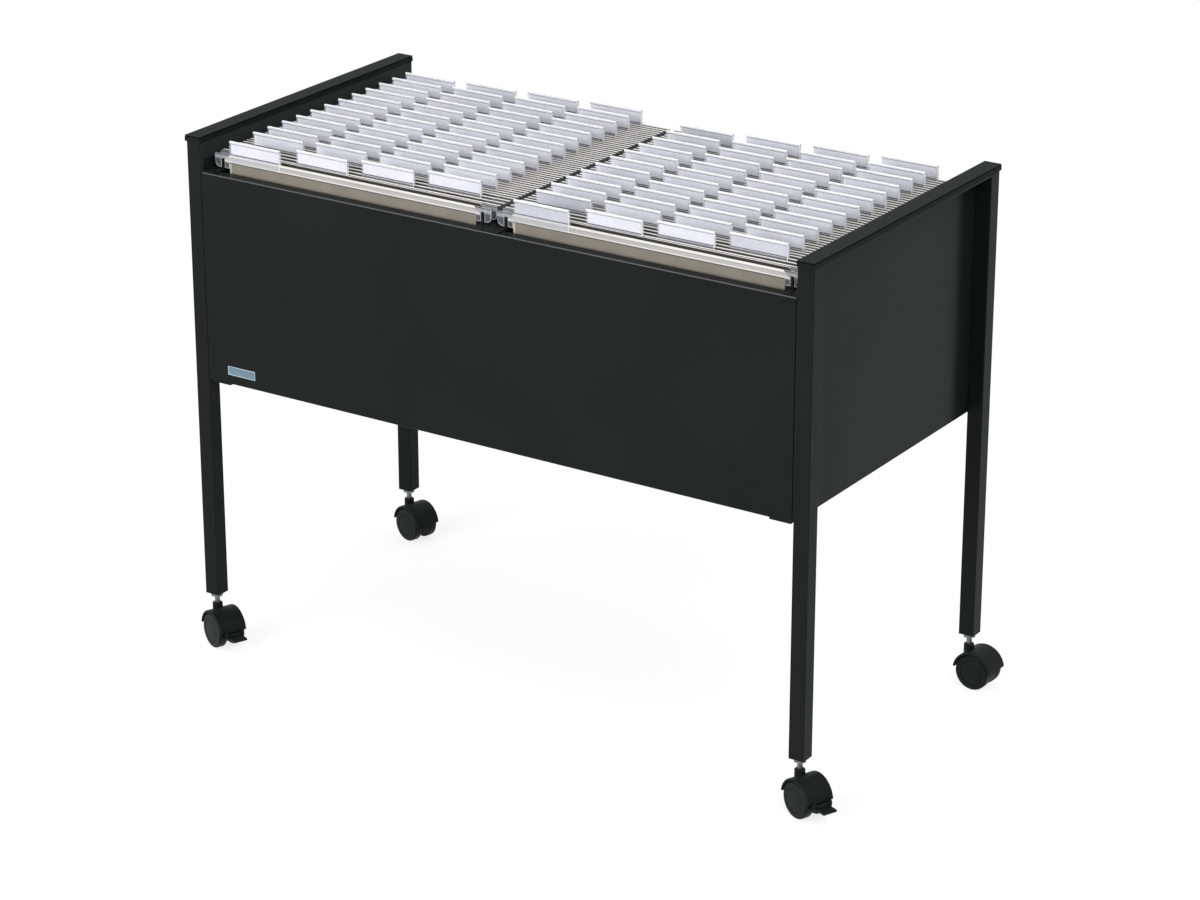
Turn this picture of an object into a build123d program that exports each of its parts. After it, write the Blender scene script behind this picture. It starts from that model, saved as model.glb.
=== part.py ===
from build123d import *
import math
import os

# Hanging file trolley. Millimetres, X to the right, Y to the back, Z up.
# The origin is on the floor, under the middle of the frame.

# Overall frame
frame_width = 773.0
frame_depth = 382.0
overall_height = 592.0
caster_height = 59.5

# Square tube of the legs and of the top rails
leg_side = 18.0
tube_wall = 1.2
leg_edge_radius = 1.2
rail_tube_height = 8.5

# Cap strips
cap_sheet = 1.0
cap_end_wall = 1.5
cap_lip = 6.8
cap_edge_radius = 0.5
cap_seam_drop = 0.8
cap_seam_height = 0.9
cap_seam_depth = 0.5

# Panels of folded sheet
panel_sheet = 1.0
panel_top_drop = 38.8
panel_height = 235.2
panel_fold = 12.0
panel_edge_radius = 0.8
panel_gap = 0.7
side_panel_setback = 1.0
side_fold_gap = 1.0
panel_play = 0.2

# Corner brackets under the panels
bracket_length = 25.0
bracket_depth = 22.0
bracket_thickness = 2.5
bracket_setback = 1.5

# File rails
rail_web = 2.0
rail_top_drop = 25.0
centre_rail_spacing = 29.0
rail_to_side_panel = 15.5
rail_end_setback = 2.0
rail_base = 1.5
rail_past_hook = 0.5

# Panel screws
screw_radius = 2.0
screw_head_radius = 3.8
screw_head_height = 2.2
screw_head_edge_radius = 1.2
screw_slot_width = 0.9
screw_slot_depth = 0.8
screw_length = 6.0
screw_play = 0.15
screw_inset = 7.0
screw_drops = (60.0, 245.0)

# Name plate, left blank
plate_width = 37.0
plate_height = 10.0
plate_thickness = 0.8
plate_corner_radius = 0.8
plate_from_edge = 44.1
plate_drop = 258.2

# Leg plugs and caster stems
plug_length = 25.0
thread_radius = 4.0
stud_length = 20.0
collar_across_flats = 12.5
collar_height = 4.2
pin_radius = 3.0
pin_length = 32.5

# Casters
wheel_radius = 20.0
wheel_width = 10.5
wheel_shoulder = 2.2
wheel_dish_radius = 13.5
wheel_dish_depth = 0.8
wheel_gap_to_web = 0.4
web_half = 5.0
hood_wheel_gap = 0.9
hood_wall = 2.5
hood_side_overhang = 0.5
hood_rim_radius = 1.2
hood_end_rise = 3.0
web_to_tread = 0.5
web_below_axle = 9.0
axle_trail = 12.7
axle_radius = 2.5
axle_cover = 1.9
axle_end_play = 0.3
running_play = 0.05
neck_radius = 5.75
neck_to_leg = 12.5
neck_chamfer = 1.0

# Brake levers on the front casters
lever_half_width = 8.0
lever_pivot_to_tread = 4.7
lever_barrel_radius = 2.6
lever_reach = 15.1
lever_pad_drop = 3.0
lever_pad_thickness = 2.8
lever_tip_radius = 1.2
lever_nose = (-3.9, -5.5)
trunnion_radius = 1.5
trunnion_length = 2.4
ear_gap = 0.3
ear_wheel_gap = 1.5
ear_thickness = 2.6
ear_below_axle = 3.2
ear_above_axle = 5.5
ear_reach = 3.2
ear_corner_radius = 3.0

# Directions in which the casters trail, measured from the X axis in degrees
swivel_angles = {
    "front_left": -23.1,
    "front_right": -22.6,
    "back_right": -2.9,
    "back_left": -16.2,
}

# Hanging files
card_to_rail = 8.75
card_drop = 235.0
card_sheet = 0.8
pocket_spacing = 10.0
front_bar_inset = 18.5
bar_thickness = 2.4
bar_height = 8.0
bar_top_drop = 20.5
bar_past_rail = 3.0
hook_thickness = 2.0
hook_outer_reach = 11.0
hook_height = 15.0
hook_corner_radius = 6.0
hook_rail_play = 1.2
hook_seat_play = 0.1
closed_bar_gap = 0.2
closed_files_gap = 1.0
loose_file_count = 3
loose_file_pitch = 9.0
closed_files_end_space = 27.0
closed_file_gaps = {-1: 1.29, 1: 1.88}

# Tab holders and their labels
tab_width = 67.0
tab_height = 16.0
tab_side_wall = 0.4
tab_top_wall = 1.2
tab_lap = 7.6
tab_columns = 4
tab_margin = 1.5
tab_spare = 1.0
label_width = 64.0
label_height = 12.5
label_thickness = 0.6
label_play = 0.2

# How far a cutting block reaches past what it cuts
cutter_margin = 1.0

# Values that follow from the ones above
leg_outer = frame_width / 2
leg_inner = leg_outer - leg_side
leg_centre_x = leg_outer - leg_side / 2
leg_centre_y = frame_depth / 2 - leg_side / 2
leg_top = overall_height - cap_sheet
frame_front = frame_depth / 2
side_inner = leg_inner - panel_sheet
panel_half_width = side_inner - panel_gap
side_fold_setback = panel_sheet + panel_fold + side_fold_gap
plate_from_centre = panel_half_width - plate_from_edge
panel_top = overall_height - panel_top_drop
panel_bottom = panel_top - panel_height
rail_top = overall_height - rail_top_drop
pin_end_height = caster_height - pin_length
neck_top_height = caster_height - neck_to_leg
wheel_inner = web_half + wheel_gap_to_web
wheel_outer = wheel_inner + wheel_width
axle_length = 2 * (wheel_outer - axle_cover)
hood_inner_radius = wheel_radius + hood_wheel_gap
hood_radius = hood_inner_radius + hood_wall
hood_end_height = wheel_radius + hood_end_rise
web_radius = wheel_radius - web_to_tread
web_bottom_height = wheel_radius - web_below_axle
lever_pivot_x = axle_trail + wheel_radius + lever_pivot_to_tread
lever_pad_bottom = wheel_radius - lever_pad_drop
inner_rail_x = centre_rail_spacing / 2
outer_rail_x = side_inner - rail_to_side_panel
bay_centre_x = (inner_rail_x + outer_rail_x) / 2
card_width = outer_rail_x - inner_rail_x - 2 * card_to_rail
tab_pitch = card_width / tab_columns - tab_spare
bar_top = overall_height - bar_top_drop
bar_bottom = bar_top - bar_height
hook_notch_width = rail_web + 2 * hook_rail_play
closed_bar_spacing = bar_thickness + closed_bar_gap
closed_file_depth = closed_bar_spacing + bar_thickness
front_bar_y = -(frame_front - front_bar_inset)
back_bar_y = front_bar_y + pocket_spacing
rail_edge_end = hook_thickness / 2 + rail_past_hook - front_bar_y
first_closed_file_y = back_bar_y + bar_thickness + closed_files_gap
close_files_start_y = first_closed_file_y + loose_file_count * loose_file_pitch
close_files_depth = frame_front - closed_files_end_space - close_files_start_y
corners = {
    "front_left": (-1, -1),
    "front_right": (1, -1),
    "back_right": (1, 1),
    "back_left": (-1, 1),
}
sides = {"left": -1, "right": 1}
nodes = {}


def block(x_span, y_span, z_span):
    """A box between two corners, whichever way round the spans are given."""
    spans = [sorted(span) for span in (x_span, y_span, z_span)]
    size = [high - low for low, high in spans]
    middle = [(high + low) / 2 for low, high in spans]
    return Pos(*middle) * Box(*size)


def rod(start, direction, radius, length):
    """A round bar from a point along a direction."""
    return Plane(origin=start, z_dir=direction) * Cylinder(
        radius, length, align=(Align.CENTER, Align.CENTER, Align.MIN)
    )


def keep(name, *shapes):
    """Store one node as the list of its separate solids."""
    solids = []
    for shape in shapes:
        solids.extend(shape.solids())
    nodes[name] = solids


def screw_places(side, end):
    """Axis points of the panel screws at one corner, on the inner face of the leg."""
    y = end * (frame_front - screw_inset)
    return [(side * leg_inner, y, overall_height - drop) for drop in screw_drops]


def screw_hole(side, place):
    """Clearance hole for one panel screw, along X."""
    start = (place[0] - side * panel_fold, place[1], place[2])
    return rod(start, (side, 0, 0), screw_radius + screw_play, panel_fold + screw_length)


# Legs, square tubes open at the bottom
def leg(side, end):
    x_span = (side * leg_inner, side * leg_outer)
    y_span = (end * (frame_front - leg_side), end * frame_front)
    tube = block(x_span, y_span, (caster_height, leg_top))
    tube = fillet(tube.edges().filter_by(Axis.Z), leg_edge_radius)
    hollow_x = (side * (leg_inner + tube_wall), side * (leg_outer - tube_wall))
    hollow_y = (end * (frame_front - leg_side + tube_wall), end * (frame_front - tube_wall))
    tube -= block(hollow_x, hollow_y, (caster_height, leg_top))
    for place in screw_places(side, end):
        tube -= screw_hole(side, place)
    return tube


# Top rails between the legs of each side frame
def top_rail(side):
    y_end = frame_front - leg_side
    x_span = (side * leg_inner, side * leg_outer)
    tube = block(x_span, (-y_end, y_end), (leg_top - rail_tube_height, leg_top))
    hollow_x = (side * (leg_inner + tube_wall), side * (leg_outer - tube_wall))
    hollow_z = (leg_top - rail_tube_height + tube_wall, leg_top - tube_wall)
    return tube - block(hollow_x, (-y_end, y_end), hollow_z)


# Cap strips, channels turned over the top of each side frame
def cap_strip(side):
    x_span = (side * (leg_inner - cap_sheet), side * (leg_outer + cap_sheet))
    y_end = frame_front + cap_end_wall
    strip = block(x_span, (-y_end, y_end), (overall_height - cap_lip, overall_height))
    top_edges = strip.edges().group_by(Axis.Z)[-1]
    strip = fillet(top_edges, cap_edge_radius)
    inside_z = (overall_height - cap_lip, leg_top)
    inside_x = (side * leg_inner, side * leg_outer)
    strip -= block(inside_x, (-frame_front, frame_front), inside_z)
    seam_top = overall_height - cap_seam_drop
    seam_z = (seam_top - cap_seam_height, seam_top)
    core_x = (x_span[0] + side * cap_seam_depth, x_span[1] - side * cap_seam_depth)
    core_y = (-y_end + cap_seam_depth, y_end - cap_seam_depth)
    return strip - (block(x_span, (-y_end, y_end), seam_z) - block(core_x, core_y, seam_z))


# Side panels, with a fold along the bottom edge
def side_panel(side):
    y_end = frame_front - side_panel_setback
    top = overall_height - cap_lip - panel_play
    sheet = block((side * side_inner, side * leg_inner), (-y_end, y_end), (panel_bottom, top))
    fold_x = (side * (side_inner - panel_fold), side * side_inner)
    fold_y = frame_front - side_fold_setback
    sheet += block(fold_x, (-fold_y, fold_y), (panel_bottom, panel_bottom + panel_sheet))
    for end in (-1, 1):
        for place in screw_places(side, end):
            sheet -= screw_hole(side, place)
    return sheet


# Front and back panels, trays with folds on all four edges
def end_panel(end):
    face_y = end * frame_front
    depth_y = end * (frame_front - panel_sheet - panel_fold)
    x_span = (-panel_half_width, panel_half_width)
    tray = block(x_span, (face_y, depth_y), (panel_bottom, panel_top))
    outer_edges = tray.edges().filter_by(Axis.X).group_by(Axis.Y)[0 if end < 0 else -1]
    tray = fillet(outer_edges, panel_edge_radius)
    inner_half = panel_half_width - panel_sheet
    inside_y = (face_y - end * panel_sheet, depth_y)
    inside_z = (panel_bottom + panel_sheet, panel_top - panel_sheet)
    tray -= block((-inner_half, inner_half), inside_y, inside_z)
    for side in (-1, 1):
        for place in screw_places(side, end):
            tray -= screw_hole(side, place)
    return tray


# Upright edge of a rail, which ends just past the front hooks
def rail_edge(x_span):
    return block(x_span, (-rail_edge_end, rail_edge_end), (panel_top, rail_top))


# Rail beam in the middle, a channel that lies on the folded top edges of the panels
def centre_rail_beam():
    y_end = frame_front - rail_end_setback
    half = inner_rail_x + rail_web / 2
    beam = block((-half, half), (-y_end, y_end), (panel_top, panel_top + rail_base))
    for side in (-1, 1):
        beam += rail_edge((side * (half - rail_web), side * half))
    return beam


# Rails on the side panels, channels whose inner edge carries the hooks
def side_rail(side):
    y_end = frame_front - rail_end_setback
    inner = outer_rail_x - rail_web / 2
    x_span = (side * inner, side * side_inner)
    channel = block(x_span, (-y_end, y_end), (panel_top, panel_top + rail_base))
    flange_x = (side * (side_inner - rail_base), side * side_inner)
    channel += block(flange_x, (-y_end, y_end), (panel_top, rail_top))
    return channel + rail_edge((side * inner, side * (inner + rail_web)))


# Flat brackets under the bottom corners of the panels
def corner_bracket(side, end):
    x_end = panel_half_width - bracket_setback
    y_end = frame_front - bracket_setback
    x_span = (side * (x_end - bracket_length), side * x_end)
    y_span = (end * (y_end - bracket_depth), end * y_end)
    return block(x_span, y_span, (panel_bottom - bracket_thickness, panel_bottom))


# Screws through the panel folds and side panels into the legs
def panel_screw(side, place):
    inner_face = panel_half_width - panel_sheet
    start = (side * inner_face, place[1], place[2])
    shank_length = leg_inner - inner_face + screw_length
    shank = rod(start, (side, 0, 0), screw_radius, shank_length)
    head = rod(start, (-side, 0, 0), screw_head_radius, screw_head_height)
    outer_group = 0 if side > 0 else -1
    head = fillet(head.edges().group_by(Axis.X)[outer_group], screw_head_edge_radius)
    slot_x = side * (inner_face - screw_head_height)
    slot = Box(2 * screw_slot_depth, 2 * screw_radius, screw_slot_width)
    return shank + head - Pos(slot_x, place[1], place[2]) * slot


# Blank plate on the front panel
def name_plate():
    z = overall_height - plate_drop
    plate = block(
        (-plate_from_centre - plate_width / 2, -plate_from_centre + plate_width / 2),
        (-frame_front - plate_thickness, -frame_front),
        (z - plate_height / 2, z + plate_height / 2),
    )
    return fillet(plate.edges().filter_by(Axis.Y), plate_corner_radius)


# Plugs in the bottom ends of the legs
def leg_plug(side, end):
    inside = leg_side - 2 * tube_wall
    centre = Pos(side * leg_centre_x, end * leg_centre_y, caster_height + plug_length / 2)
    body = centre * Box(inside, inside, plug_length)
    return body - centre * Cylinder(thread_radius, plug_length)


# Caster stems: stud in the plug, hexagon collar under the leg, pin in the caster's neck
def caster_stem(side, end):
    x = side * leg_centre_x
    y = end * leg_centre_y
    stud = rod((x, y, caster_height), (0, 0, 1), thread_radius, stud_length)
    collar_base = Plane(origin=(x, y, caster_height - collar_height))
    hexagon = RegularPolygon(collar_across_flats / 2, 6, major_radius=False)
    collar = extrude(collar_base * hexagon, collar_height)
    pin = rod((x, y, pin_end_height), (0, 0, 1), pin_radius, caster_height - pin_end_height)
    return stud + collar + pin


# Casters are drawn trailing along +X with the stem on the Z axis, then turned and placed.
def caster_place(corner):
    side, end = corners[corner]
    place = Pos(side * leg_centre_x, end * leg_centre_y, 0)
    return place * Rot(0, 0, swivel_angles[corner])


def hood(with_brake):
    half_width = wheel_outer + hood_side_overhang
    axle_line = Pos(axle_trail, 0, wheel_radius) * Rot(90, 0, 0)
    shell = axle_line * Cylinder(hood_radius, 2 * half_width)
    shell = fillet(shell.edges().filter_by(GeomType.CIRCLE), hood_rim_radius)
    shell -= axle_line * Cylinder(hood_inner_radius, 2 * half_width)
    reach = hood_radius + cutter_margin
    lower_half = block(
        (axle_trail - reach, axle_trail + reach),
        (-half_width - cutter_margin, half_width + cutter_margin),
        (wheel_radius - reach, hood_end_height),
    )
    shell -= lower_half
    web = axle_line * Cylinder((hood_radius + hood_inner_radius) / 2, 2 * web_half) - lower_half
    web += axle_line * Cylinder(web_radius, 2 * web_half)
    web -= block(
        (axle_trail - reach, axle_trail + reach),
        (-web_half - cutter_margin, web_half + cutter_margin),
        (wheel_radius - reach, web_bottom_height),
    )
    neck_base = wheel_radius + math.sqrt(hood_inner_radius**2 - (axle_trail + neck_radius) ** 2)
    neck = rod((0, 0, neck_base), (0, 0, 1), neck_radius, neck_top_height - neck_base)
    neck = chamfer(neck.edges().group_by(Axis.Z)[-1], neck_chamfer)
    inside_hood = axle_line * Cylinder(hood_inner_radius, 2 * half_width)
    side_space = inside_hood - block(
        (axle_trail - reach, axle_trail + reach), (-web_half, web_half), (0, neck_top_height)
    )
    body = shell + web + (neck - side_space)
    body -= rod(
        (0, 0, pin_end_height - axle_end_play),
        (0, 0, 1),
        pin_radius + running_play,
        neck_top_height,
    )
    body -= axle_line * Cylinder(axle_radius, 4 * web_half)
    if with_brake:
        ear_z = (wheel_radius - ear_below_axle, wheel_radius + ear_above_axle)
        for face in (-1, 1):
            y_near = face * (lever_half_width + ear_gap)
            y_far = face * (lever_half_width + ear_gap + ear_thickness)
            inner_x = axle_trail + wheel_radius + ear_wheel_gap
            ear = block((inner_x, lever_pivot_x + ear_reach), (y_near, y_far), ear_z)
            ear = fillet(ear.edges().filter_by(Axis.Y).group_by(Axis.X)[-1], ear_corner_radius)
            body += ear
        trunnion_line = Pos(lever_pivot_x, 0, wheel_radius) * Rot(90, 0, 0)
        ear_outer = lever_half_width + ear_gap + ear_thickness
        body -= trunnion_line * Cylinder(trunnion_radius + running_play, 2 * ear_outer)
    return body


def axle():
    return Pos(axle_trail, 0, wheel_radius) * Rot(90, 0, 0) * Cylinder(axle_radius, axle_length)


# Wheels, with a blind bore from the inner face and a shallow dish in the outer face
def wheel(face):
    tyre_start = (axle_trail, face * wheel_inner, wheel_radius)
    tyre = rod(tyre_start, (0, face, 0), wheel_radius, wheel_width)
    tyre = fillet(tyre.edges().filter_by(GeomType.CIRCLE), wheel_shoulder)
    dish_start = (axle_trail, face * (wheel_outer - wheel_dish_depth), wheel_radius)
    tyre -= rod(dish_start, (0, face, 0), wheel_dish_radius, wheel_dish_depth)
    bore_start = (axle_trail, 0, wheel_radius)
    bore_length = axle_length / 2 + axle_end_play
    return tyre - rod(bore_start, (0, face, 0), axle_radius + running_play, bore_length)


def brake_lever():
    pivot_line = Pos(lever_pivot_x, 0, wheel_radius) * Rot(90, 0, 0)
    barrel = pivot_line * Cylinder(lever_barrel_radius, 2 * lever_half_width)
    pad = block(
        (lever_pivot_x, lever_pivot_x + lever_reach),
        (-lever_half_width, lever_half_width),
        (lever_pad_bottom, lever_pad_bottom + lever_pad_thickness),
    )
    tip_edges = pad.edges().filter_by(Axis.Y).group_by(Axis.X)[-1]
    pad = fillet(tip_edges, lever_tip_radius)
    nose_outline = Polyline(
        (lever_pivot_x + lever_nose[0], wheel_radius + lever_nose[1]),
        (lever_pivot_x + lever_barrel_radius, lever_pad_bottom),
        (lever_pivot_x, wheel_radius),
        (lever_pivot_x - lever_barrel_radius, wheel_radius),
        close=True,
    )
    nose_plane = Plane(origin=(0, lever_half_width, 0), x_dir=(1, 0, 0), z_dir=(0, -1, 0))
    nose = extrude(nose_plane * make_face(nose_outline), 2 * lever_half_width)
    trunnions = pivot_line * Cylinder(trunnion_radius, 2 * (lever_half_width + trunnion_length))
    return barrel + pad + nose + trunnions


# Suspension bar of a file, from rail to rail
def file_bar(side, y):
    x_span = (side * (inner_rail_x + bar_past_rail), side * (outer_rail_x - bar_past_rail))
    y_span = (y - bar_thickness / 2, y + bar_thickness / 2)
    return block(x_span, y_span, (bar_bottom, bar_top))


# Hook at one end of a bar, a plate with a notch that straddles the rail
def file_hook(rail_x, outward):
    bar_end = rail_x - outward * bar_past_rail
    tip = rail_x + outward * hook_outer_reach
    inner = bay_edge(outward, rail_x)
    low = bar_top - hook_height
    half = hook_thickness / 2
    plate = block((bar_end, tip), (-half, half), (low, bar_top))
    plate += block((bar_end, inner), (-half, half), (low, bar_bottom))
    tip_group = -1 if tip > bar_end else 0
    low_corner = plate.edges().filter_by(Axis.Y).group_by(Axis.X)[tip_group].group_by(Axis.Z)[0]
    plate = fillet(low_corner, hook_corner_radius)
    notch_top = rail_top + hook_seat_play
    notch_x = (rail_x - hook_notch_width / 2, rail_x + hook_notch_width / 2)
    return plate - block(notch_x, (-half, half), (low, notch_top))


def bay_edge(outward, rail_x):
    """X of the card edge next to a rail."""
    bay = bay_centre_x if rail_x > 0 else -bay_centre_x
    return bay + outward * card_width / 2


def hooks_at(side, bar_places):
    """The hooks of a row of bars, all copied from one hook per rail."""
    patterns = [
        file_hook(side * outer_rail_x, side),
        file_hook(side * inner_rail_x, -side),
    ]
    return [Pos(0, y, 0) * pattern for y in bar_places for pattern in patterns]


# Card of the front file, a folder that hangs open between its two bars
def open_card(side):
    half = card_sheet / 2
    fold_y = (front_bar_y + back_bar_y) / 2
    fold_z = bar_bottom - card_drop
    outline = Polyline(
        (front_bar_y - half, bar_bottom),
        (fold_y - card_sheet, fold_z),
        (fold_y + card_sheet, fold_z),
        (back_bar_y + half, bar_bottom),
        (back_bar_y - half, bar_bottom),
        (fold_y, fold_z + 2 * card_sheet),
        (front_bar_y + half, bar_bottom),
        close=True,
    )
    start_x = side * bay_centre_x - card_width / 2
    plane = Plane(origin=(start_x, 0, 0), x_dir=(0, 1, 0), z_dir=(1, 0, 0))
    return extrude(plane * make_face(outline), card_width)


# Card of a closed file, a flat pack under its two bars
def closed_card(side, first_bar_y):
    half = card_sheet / 2
    start_x = side * bay_centre_x - card_width / 2
    y_span = (first_bar_y - half, first_bar_y + closed_bar_spacing + half)
    return block((start_x, start_x + card_width), y_span, (bar_bottom - card_drop, bar_bottom))


def closed_file_places(side):
    """Y of the front bar of every closed file: a few stand loosely, the rest close."""
    loose = [first_closed_file_y + i * loose_file_pitch for i in range(loose_file_count)]
    pitch = closed_file_depth + closed_file_gaps[side]
    close_count = int(close_files_depth / pitch) + 1
    return loose + [close_files_start_y + i * pitch for i in range(close_count)]


def closed_tab_places(side):
    """Column and Y of the tab of every closed file, each one column to the right of the last."""
    files = closed_file_places(side)
    return [((index + 1) % tab_columns, y) for index, y in enumerate(files)]


def tab_corner(side, column):
    """Left end of a tab in one of the columns of a bay."""
    return side * bay_centre_x - card_width / 2 + tab_margin + column * tab_pitch


# Tab holder, a folded clear sheet that stands on a bar and laps over the bar's front face
def tab_holder():
    wall_y = bar_thickness / 2 + tab_side_wall
    sleeve = block((0, tab_width), (-wall_y, bar_thickness / 2), (-tab_lap, tab_height))
    inside_y = (-bar_thickness / 2, bar_thickness / 2 - tab_side_wall)
    sleeve -= block((0, tab_width), inside_y, (0, tab_height - tab_top_wall))
    bar_y = (-bar_thickness / 2, bar_thickness / 2)
    return sleeve - block((0, tab_width), bar_y, (-tab_lap, 0))


# Label, a blank strip that leans on the front wall of its holder
def tab_label():
    margin = (tab_width - label_width) / 2
    top = tab_height - tab_top_wall - label_play
    front = -bar_thickness / 2
    y_span = (front, front + label_thickness)
    return block((margin, margin + label_width), y_span, (top - label_height, top))


def copies(shape, side, places):
    """One copy of a tab or label at each column and Y of a bay."""
    return [Pos(tab_corner(side, column), y, bar_top) * shape for column, y in places]


def build_frame():
    for corner, (side, end) in corners.items():
        keep(f"leg_{corner}", leg(side, end))
    for name, side in sides.items():
        keep(f"top_rail_{name}", top_rail(side))
        keep(f"cap_strip_{name}", cap_strip(side))
        keep(f"side_panel_{name}", side_panel(side))
        keep(f"side_rail_{name}", side_rail(side))
    keep("front_panel", end_panel(-1))
    keep("back_panel", end_panel(1))
    keep("centre_rail_beam", centre_rail_beam())
    keep("name_plate", name_plate())
    corner_list = list(corners.values())
    keep("corner_brackets", *[corner_bracket(side, end) for side, end in corner_list])
    keep("leg_plugs", *[leg_plug(side, end) for side, end in corner_list])
    keep("caster_stems", *[caster_stem(side, end) for side, end in corner_list])
    screws = []
    for side, end in corner_list:
        screws.extend(panel_screw(side, place) for place in screw_places(side, end))
    keep("panel_screws", *screws)


def build_casters():
    for corner, (side, end) in corners.items():
        place = caster_place(corner)
        braked = end < 0
        keep(f"caster_hood_{corner}", place * hood(braked))
        keep(f"caster_axle_{corner}", place * axle())
        keep(f"wheel_a_{corner}", place * wheel(-1))
        keep(f"wheel_b_{corner}", place * wheel(1))
        if braked:
            keep(f"brake_lever_{corner}", place * brake_lever())


def build_files():
    front_bars = [front_bar_y, back_bar_y]
    holder = tab_holder()
    label = tab_label()
    for name, side in sides.items():
        keep(f"front_file_card_{name}", open_card(side))
        keep(f"front_file_bars_{name}", *[file_bar(side, y) for y in front_bars])
        keep(f"front_file_hooks_{name}", *hooks_at(side, front_bars))
        front_tab = [(0, front_bar_y)]
        keep(f"front_file_tab_{name}", *copies(holder, side, front_tab))
        keep(f"front_file_label_{name}", *copies(label, side, front_tab))
        files = closed_file_places(side)
        closed_bars = [y + step for y in files for step in (0, closed_bar_spacing)]
        keep(f"file_cards_{name}", *[closed_card(side, y) for y in files])
        keep(f"file_bars_{name}", *[file_bar(side, y) for y in closed_bars])
        keep(f"file_hooks_{name}", *hooks_at(side, closed_bars))
        tabs = closed_tab_places(side)
        keep(f"file_tabs_{name}", *copies(holder, side, tabs))
        keep(f"file_labels_{name}", *copies(label, side, tabs))


build_frame()
build_casters()
build_files()

os.makedirs("parts", exist_ok=True)
for node_name, node_solids in nodes.items():
    shape = node_solids[0] if len(node_solids) == 1 else Compound(children=node_solids)
    export_step(shape, f"parts/{node_name}.step")
print(len(nodes), "nodes")
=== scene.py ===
"""Looks of the hanging file trolley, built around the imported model.

Every length is in metres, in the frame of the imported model: the origin is on the floor
under the middle of the trolley, X runs to the right, Y to the back and Z up.
"""

from __future__ import annotations

import logging
import math
from dataclasses import dataclass
from enum import Enum, IntEnum
from typing import Iterable, Mapping, Sequence, Union

import bmesh
import bpy
from mathutils import Matrix, Vector


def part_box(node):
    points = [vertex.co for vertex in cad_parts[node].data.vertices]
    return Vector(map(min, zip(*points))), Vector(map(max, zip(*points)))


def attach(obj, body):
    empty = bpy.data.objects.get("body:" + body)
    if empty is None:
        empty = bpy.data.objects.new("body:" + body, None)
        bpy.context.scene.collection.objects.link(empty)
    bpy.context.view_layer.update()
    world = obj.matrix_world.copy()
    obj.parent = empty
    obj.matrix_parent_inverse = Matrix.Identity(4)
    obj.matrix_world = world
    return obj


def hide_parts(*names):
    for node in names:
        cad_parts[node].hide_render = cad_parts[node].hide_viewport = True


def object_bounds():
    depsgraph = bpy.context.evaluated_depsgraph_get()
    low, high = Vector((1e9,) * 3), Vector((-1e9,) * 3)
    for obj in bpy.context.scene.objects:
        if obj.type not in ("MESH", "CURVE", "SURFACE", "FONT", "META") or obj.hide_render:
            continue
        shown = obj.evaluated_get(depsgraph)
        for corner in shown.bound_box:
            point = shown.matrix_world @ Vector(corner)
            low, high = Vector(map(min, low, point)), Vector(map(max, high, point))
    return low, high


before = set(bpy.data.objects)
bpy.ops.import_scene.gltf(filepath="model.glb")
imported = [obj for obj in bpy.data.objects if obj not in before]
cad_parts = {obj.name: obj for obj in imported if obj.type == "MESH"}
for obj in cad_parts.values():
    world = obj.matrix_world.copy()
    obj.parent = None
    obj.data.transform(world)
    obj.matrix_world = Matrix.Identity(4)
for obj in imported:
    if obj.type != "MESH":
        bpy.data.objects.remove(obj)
CAD_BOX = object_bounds()

LOG = logging.getLogger("trolley")

MM = 0.001
HAIR = 1e-6  # lengths closer than this are taken as one
WELD = 1e-7  # vertices closer than this are merged
FACING = 0.9  # least share of a normal along the axis that its face looks along
TILTED = 0.3  # least share of a bevel's normal along either of its two axes
SQUARE = 1.2  # angle in radians that only square edges exceed
SMOOTH = 0.6  # largest angle in radians that is shaded smooth
SHINE = "Specular IOR Level"  # the shader's input for how much it mirrors

Corners = tuple[Vector, Vector]
Colour = tuple[float, float, float]
Line = Sequence[tuple[float, float]]


class Side(Enum):
    """A half of the trolley, by the way that it lies from the middle."""

    LEFT = -1
    RIGHT = 1

    @property
    def label(self) -> str:
        """The side's word in the names of nodes and bodies."""
        return self.name.lower()


class Corner(Enum):
    """A corner of the trolley: the signs of its X and Y, and its caster's angle at rest."""

    FRONT_LEFT = (-1, -1, -23.1)
    FRONT_RIGHT = (1, -1, -22.6)
    BACK_RIGHT = (1, 1, -2.9)
    BACK_LEFT = (-1, 1, -16.2)

    @property
    def label(self) -> str:
        """The corner's words in the names of nodes and bodies."""
        return self.name.lower()


class BarFace(IntEnum):
    """The faces of a suspension bar."""

    TOP = 0
    SIDE = 1
    HOLLOW = 2


class HookFace(IntEnum):
    """The faces of a hook."""

    PLATE = 0
    RIM = 1
    TOP = 2
    GAP = 3
    BLOCK = 4
    TIP = 5


class SheetFace(IntEnum):
    """The faces of a folder, a tab holder, a label and the plate."""

    WALL = 0
    EDGE = 1
    CREASE = 2
    RIDGE = 3


# Shader trees


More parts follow.
